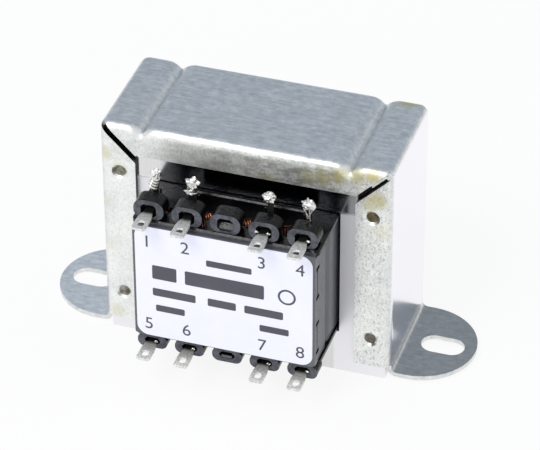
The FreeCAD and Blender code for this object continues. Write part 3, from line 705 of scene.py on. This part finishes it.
def lump(bm, centre, radii, seed, rough, spikes):
    # A drop that froze unevenly: a ball pushed in and out by noise, with a few drawn points
    ball = bmesh.ops.create_icosphere(bm, subdivisions=lumpShape["subdivisions"], radius=1.0)
    for vert in ball["verts"]:
        aim = vert.co.normalized()
        coarse = noise.noise(aim * lumpShape["coarse"] + Vector((seed, 0, 0)))
        fine = noise.noise(aim * lumpShape["fine"] + Vector((0, seed, 0)))
        swell = coarse * rough + fine * rough * lumpShape["fineShare"]
        for x, y, z, reach in spikes:
            swell += reach * max(0.0, aim.dot(Vector((x, y, z)).normalized())) ** lumpShape["narrow"]
        vert.co = aim * (1 + swell)
    scale = Matrix.Diagonal((radii[0] * mm, radii[1] * mm, radii[2] * mm, 1.0))
    bmesh.ops.transform(bm, matrix=Matrix.Translation(centre) @ scale, verts=ball["verts"])


def spinWire(bm, wire, start, **path):
    # Sweeps a round section from its start along an arc or a coil about the origin, and closes both ends
    before = set(bm.verts)
    section = bmesh.ops.create_circle(bm, radius=wire * mm, segments=wireShape["sides"],
                                      cap_ends=False, matrix=start)["verts"]
    bmesh.ops.spin(bm, geom=section + edgesOf(section), cent=(0, 0, 0), use_merge=False, **path)
    spun = [vert for vert in bm.verts if vert not in before]
    rims = [edge for edge in edgesOf(spun) if edge.is_boundary]
    bmesh.ops.holes_fill(bm, edges=rims, sides=wireShape["sides"])
    return spun


def wireTurns(bm, base, turns):
    # Bare wire wound round the post in slanted turns
    steps = int(turns["count"] * wireShape["stepsPerTurn"])
    rise = turns["count"] * turns["pitch"] / steps * mm
    start = Matrix.Translation((turns["radius"] * mm, 0, 0)) @ Matrix.Rotation(math.radians(90), 4, "X")
    spun = spinWire(bm, turns["wire"], start, axis=(0, 0, 1), dvec=(0, 0, rise),
                    angle=math.tau * turns["count"], steps=steps)
    for vert in spun:
        vert.co.z -= turns["slant"] * vert.co.x
    bmesh.ops.translate(bm, vec=base, verts=spun)


def strand(bm, start, end):
    aim = end - start
    radius = wireShape["strandRadius"] * mm
    rod = bmesh.ops.create_cone(bm, cap_ends=True, segments=wireShape["sides"], radius1=radius,
                                radius2=radius * wireShape["strandTaper"], depth=aim.length)
    turn = aim.to_track_quat("Z", "Y").to_matrix().to_4x4()
    bmesh.ops.transform(bm, matrix=Matrix.Translation((start + end) / 2) @ turn, verts=rod["verts"])


def buildUpperJoints():
    bm = bmesh.new()
    for number, joint in enumerate(upperJoints, 1):
        low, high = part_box("tag_upper_%d" % number)
        foot = Vector(((low.x + high.x) / 2, high.y - upperPost["inset"] * mm,
                       high.z - upperPost["height"] * mm))
        before = set(bm.verts)
        for order, (centre, radii, rough, spikes) in enumerate(joint["lumps"]):
            seed = number * 11 + order * 5  # its own for each lump
            lump(bm, foot + Vector(centre) * mm, radii, seed, rough, spikes)
        if joint["turns"]:
            shift = Vector((joint["turns"]["offset"], 0, joint["turns"]["base"])) * mm
            wireTurns(bm, foot + shift, joint["turns"])
        for start, end in joint["strands"]:
            strand(bm, foot + Vector(start) * mm, foot + Vector(end) * mm)
        for vert in bm.verts:
            if vert not in before:
                vert.co.x += joint["lean"] * (vert.co.z - foot.z)
    bmesh.ops.recalc_face_normals(bm, faces=bm.faces)
    newPiece("upperSolder", bm, solder, ["solder_upper"], foldAngle=lumpShape["foldAngle"])


def buildLowerJoints():
    bm = bmesh.new()
    for number in range(1, 5):
        low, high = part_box("tag_lower_%d" % number)
        centre = (low + high) / 2
        centre.y = high.y - lowerJoints["inset"] * mm
        seed = 50 + number * 7  # its own for each lump
        lump(bm, centre, lowerJoints["radii"], seed, lowerJoints["rough"], lowerJoints["spikes"])
    newPiece("lowerSolder", bm, solder, ["solder_lower"], foldAngle=lumpShape["foldAngle"])


def buildBurrs():
    bm = bmesh.new()
    for row, number, offset in tagBurrs["places"]:
        low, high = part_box("tag_%s_%d" % (row, number))
        level = low.z if row == "upper" else high.z - tagBurrs["strip"] * mm
        centre = Vector(((low.x + high.x) / 2 + offset * mm, tagBurrs["y"] * mm,
                         level + tagBurrs["rise"] * mm))
        lump(bm, centre, tagBurrs["radii"], number + offset, tagBurrs["rough"], ())
    newPiece("tagBurrs", bm, solder, foldAngle=lumpShape["foldAngle"])


archLift = 0.7  # of the wire bends over the cover's upper edge, in mm
wireBends = (  # in mm; each group in front of the low wall has its x, y, heading in degrees and count
    {"name": "bareLoops", "finish": bareLoops, "wire": 0.2, "arc": 0.55, "gap": 0.5,
     "groups": ((-5.1, -21.5, 35, 3), (3.3, -21.4, 30, 3))},
    {"name": "redLoops", "finish": darkLoops, "wire": 0.24, "arc": 0.7, "gap": 0.55,
     "groups": ((11.3, -22.0, 20, 3), (-5.2, -24.4, 40, 2))},
)


def buildWireBends(bend):
    # Each wire leaves the coil in a small arch that stands on the former
    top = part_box("front_cover")[1].z + archLift * mm
    across = Matrix.Rotation(math.radians(90), 4, "Z")
    start = Matrix.Translation((bend["arc"] * mm, 0, 0))
    bm = bmesh.new()
    for x, y, heading, count in bend["groups"]:
        put = Matrix.Translation((x * mm, y * mm, top)) @ Matrix.Rotation(math.radians(heading), 4, "Z")
        for place in range(count):
            spun = spinWire(bm, bend["wire"], start, axis=(0, -1, 0), angle=math.pi,
                            steps=wireShape["stepsPerArch"])
            shift = Matrix.Translation(((place - (count - 1) / 2) * bend["gap"] * mm, 0, 0))
            bmesh.ops.transform(bm, matrix=put @ shift @ across, verts=spun)
    bmesh.ops.recalc_face_normals(bm, faces=bm.faces)
    newPiece(bend["name"], bm, bend["finish"], foldAngle=wireShape["foldAngle"])


buildUpperJoints()
buildLowerJoints()
buildBurrs()
for bend in wireBends:
    buildWireBends(bend)
for row in ("primary", "secondary"):
    dressCopy(row + "_leads", row + "Leads", leadWire, foldAngle=wireShape["foldAngle"])
print("solder and leads made")


# Floor, light and camera

stage = {  # in metres and watts
    "floorSize": 6.0,
    "floorCells": 4,
    "floorWhite": "#f4f4f6",
    "seenWhite": 0.88,
    "keyDirection": (-0.26, -0.60, 0.76),
    "keyDistance": 1.15,
    "keyHeight": 0.025,
    "keySize": 0.42,
    "keyPower": 4.5,
    "skyLight": 1.0,
    "skyTint": "#ffffff",
    "zenithFade": (0.3, 0.9),
    "zenithTint": "#dfe2e8",
    "wallDirection": (-0.25, 0.77, 0.585),
    "wallFade": (0.35, 0.8),
    "wallTint": "#b2bbc8",
}
cameraView = {  # worked out from the frame's corners in the photograph, in degrees, mm and pixels
    "azimuth": 18.154, "elevation": 35.799, "roll": -0.236,
    "distance": 651.11, "target": (0.969, 0.0, 24.293), "focalPixels": 3123.7,
    "imageWidth": 540, "sensorWidth": 36.0, "clip": (0.05, 50.0),  # clip is in metres
}


def buildFloor():
    # Pale matt floor that looks nearly white to the camera and in reflections
    bm = bmesh.new()
    bmesh.ops.create_grid(bm, x_segments=stage["floorCells"], y_segments=stage["floorCells"],
                          size=stage["floorSize"] / 2)
    mesh = bpy.data.meshes.new("floor")
    bm.to_mesh(mesh)
    bm.free()
    floor = bpy.data.objects.new("floor", mesh)
    bpy.context.scene.collection.objects.link(floor)
    material = bpy.data.materials.new("paleFloor")
    material.use_nodes = True
    tree = material.node_tree
    tree.nodes.clear()
    rays = addNode(tree, "LightPath").outputs
    seen = rays["Is Camera Ray"]
    for kind in ("Is Glossy Ray", "Is Transmission Ray"):
        seen = addNode(tree, "Math", {0: seen, 1: rays[kind]}, operation="ADD", use_clamp=True)
    share = addNode(tree, "Math", {0: seen, 1: stage["seenWhite"]}, operation="MULTIPLY")
    matt = addNode(tree, "BsdfDiffuse", {"Color": toLinear(stage["floorWhite"])})
    glow = addNode(tree, "Emission", {"Color": toLinear("#ffffff"), "Strength": 1.0})
    mixed = addNode(tree, "MixShader", {0: share, 1: matt, 2: glow})
    addNode(tree, "OutputMaterial", {"Surface": mixed})
    mesh.materials.append(material)


def buildWorld():
    # A white studio with a cool grey wall behind and above the object
    world = bpy.data.worlds.new("paleStudio")
    bpy.context.scene.world = world
    world.use_nodes = True
    tree = world.node_tree
    tree.nodes.clear()
    aim = addNode(tree, "TexCoord").outputs["Generated"]
    upward = addNode(tree, "SeparateXYZ", {0: aim}).outputs["Z"]
    toward = addNode(tree, "VectorMath", {0: aim, 1: stage["wallDirection"]}, operation="DOT_PRODUCT")
    tint = toLinear(stage["skyTint"])
    for source, part, curve in ((upward, "zenith", "LINEAR"), (toward, "wall", "SMOOTHSTEP")):
        low, high = stage[part + "Fade"]
        mask = addNode(tree, "MapRange", {0: source, 1: low, 2: high}, interpolation_type=curve)
        over = toLinear(stage[part + "Tint"])
        tint = addNode(tree, "Mix", {0: mask, 6: tint, 7: over}, data_type="RGBA")
    back = addNode(tree, "Background", {"Color": tint, "Strength": stage["skyLight"]})
    addNode(tree, "OutputWorld", {"Surface": back})


def buildKey():
    data = bpy.data.lights.new("softKey", "AREA")
    data.shape = "SQUARE"
    data.size = stage["keySize"]
    data.energy = stage["keyPower"]
    key = bpy.data.objects.new("softKey", data)
    aim = Vector(stage["keyDirection"]).normalized()
    place = Matrix.Translation(aim * stage["keyDistance"] + Vector((0, 0, stage["keyHeight"])))
    key.matrix_world = place @ aim.to_track_quat("Z", "Y").to_matrix().to_4x4()
    bpy.context.scene.collection.objects.link(key)


def buildCamera():
    azimuth, elevation, roll = (math.radians(cameraView[k]) for k in ("azimuth", "elevation", "roll"))
    back = Vector((math.sin(azimuth) * math.cos(elevation), -math.cos(azimuth) * math.cos(elevation),
                   math.sin(elevation)))
    level = (-back).cross(Vector((0, 0, 1))).normalized()
    upright = level.cross(-back)
    right = level * math.cos(roll) + upright * math.sin(roll)
    up = upright * math.cos(roll) - level * math.sin(roll)
    place = Vector(cameraView["target"]) * mm + back * cameraView["distance"] * mm
    data = bpy.data.cameras.new("photoCamera")
    data.sensor_fit = "HORIZONTAL"
    data.sensor_width = cameraView["sensorWidth"]
    data.lens = cameraView["focalPixels"] * cameraView["sensorWidth"] / cameraView["imageWidth"]
    data.clip_start, data.clip_end = cameraView["clip"]
    camera = bpy.data.objects.new("photoCamera", data)
    camera.matrix_world = Matrix.Translation(place) @ Matrix((right, up, back)).transposed().to_4x4()
    bpy.context.scene.collection.objects.link(camera)
    bpy.context.scene.camera = camera


buildFloor()
buildWorld()
buildKey()
buildCamera()
bpy.context.scene.view_settings.view_transform = "Standard"
print("floor, light and camera set")
